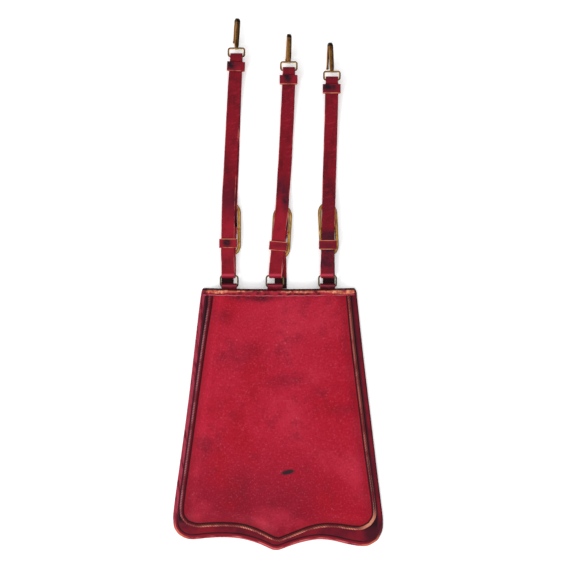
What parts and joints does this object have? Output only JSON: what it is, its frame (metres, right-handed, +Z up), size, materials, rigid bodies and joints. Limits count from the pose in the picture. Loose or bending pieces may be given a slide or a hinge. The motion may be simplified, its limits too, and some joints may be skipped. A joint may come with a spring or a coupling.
{
  "type": "sabretache",
  "caption": "Plain red leather sabretache with an open pocket, buckled slings, brass rings and swivel hooks, lying flat with its slings laid out.",
  "frame": {"origin": "centre of the whole object's outline, on the surface it lies on", "axes": "+Y from the bag along the slings to the hooks, +X across the bag, +Z up from the surface"},
  "size_m": [0.2751, 0.6966, 0.0148],
  "materials": {
    "red_leather": "grained red goatskin, lightly polished and rubbed",
    "worn_leather": "red leather rubbed through to tan along its fold",
    "sling_leather": "smooth dark red strap leather with tan cut edges",
    "dark_leather": "dark red leather, stained and handled",
    "gold_brass": "worn golden brass",
    "brown_brass": "brown patinated brass",
    "dark_brass": "dark tarnished brass wire"
  },
  "bodies": {
    "root": {"face_board": "red_leather", "pocket_panel": "red_leather", "mouth_binding": "worn_leather", "sling_left": "sling_leather", "sling_middle": "sling_leather", "sling_right": "sling_leather", "chape_left": "dark_leather", "chape_middle": "dark_leather", "chape_right": "dark_leather", "ring_left": "dark_brass", "ring_middle": "dark_brass", "ring_right": "dark_brass", "buckle_frame_left": "gold_brass", "buckle_frame_middle": "gold_brass", "buckle_frame_right": "gold_brass", "buckle_tongue_left": "gold_brass", "buckle_tongue_middle": "gold_brass", "buckle_tongue_right": "gold_brass", "keeper_lower_left": "dark_leather", "keeper_lower_middle": "dark_leather", "keeper_lower_right": "dark_leather", "keeper_upper_left": "dark_leather", "keeper_upper_middle": "dark_leather", "keeper_upper_right": "dark_leather"},
    "loop_left": {"hook_loop_left": "gold_brass"},
    "loop_middle": {"hook_loop_middle": "gold_brass"},
    "loop_right": {"hook_loop_right": "gold_brass"},
    "hook_left": {"hook_left": "brown_brass"},
    "hook_middle": {"hook_middle": "brown_brass"},
    "hook_right": {"hook_right": "brown_brass"}
  },
  "joints": [
    {"name": "loop_tilt_left", "type": "hinge", "parent": "root", "child": "loop_left", "pos_m": [-0.0543, 0.298, 0.01022], "axis": [1, 0, 0], "range_deg": [0, 120]},
    {"name": "loop_tilt_middle", "type": "hinge", "parent": "root", "child": "loop_middle", "pos_m": [0.0142, 0.28, 0.01072], "axis": [1, 0, 0], "range_deg": [0, 120]},
    {"name": "loop_tilt_right", "type": "hinge", "parent": "root", "child": "loop_right", "pos_m": [0.0704, 0.2676, 0.01052], "axis": [1, 0, 0], "range_deg": [0, 120]},
    {"name": "hook_swivel_left", "type": "hinge", "parent": "loop_left", "child": "hook_left", "pos_m": [-0.0543, 0.3084, 0.01022], "axis": [0.0628, 0.998, 0], "continuous": true},
    {"name": "hook_swivel_middle", "type": "hinge", "parent": "loop_middle", "child": "hook_middle", "pos_m": [0.0142, 0.2904, 0.01072], "axis": [0.0209, 0.9998, 0], "continuous": true},
    {"name": "hook_swivel_right", "type": "hinge", "parent": "loop_right", "child": "hook_right", "pos_m": [0.0704, 0.278, 0.01052], "axis": [-0.0366, 0.9993, 0], "continuous": true}
  ]
}
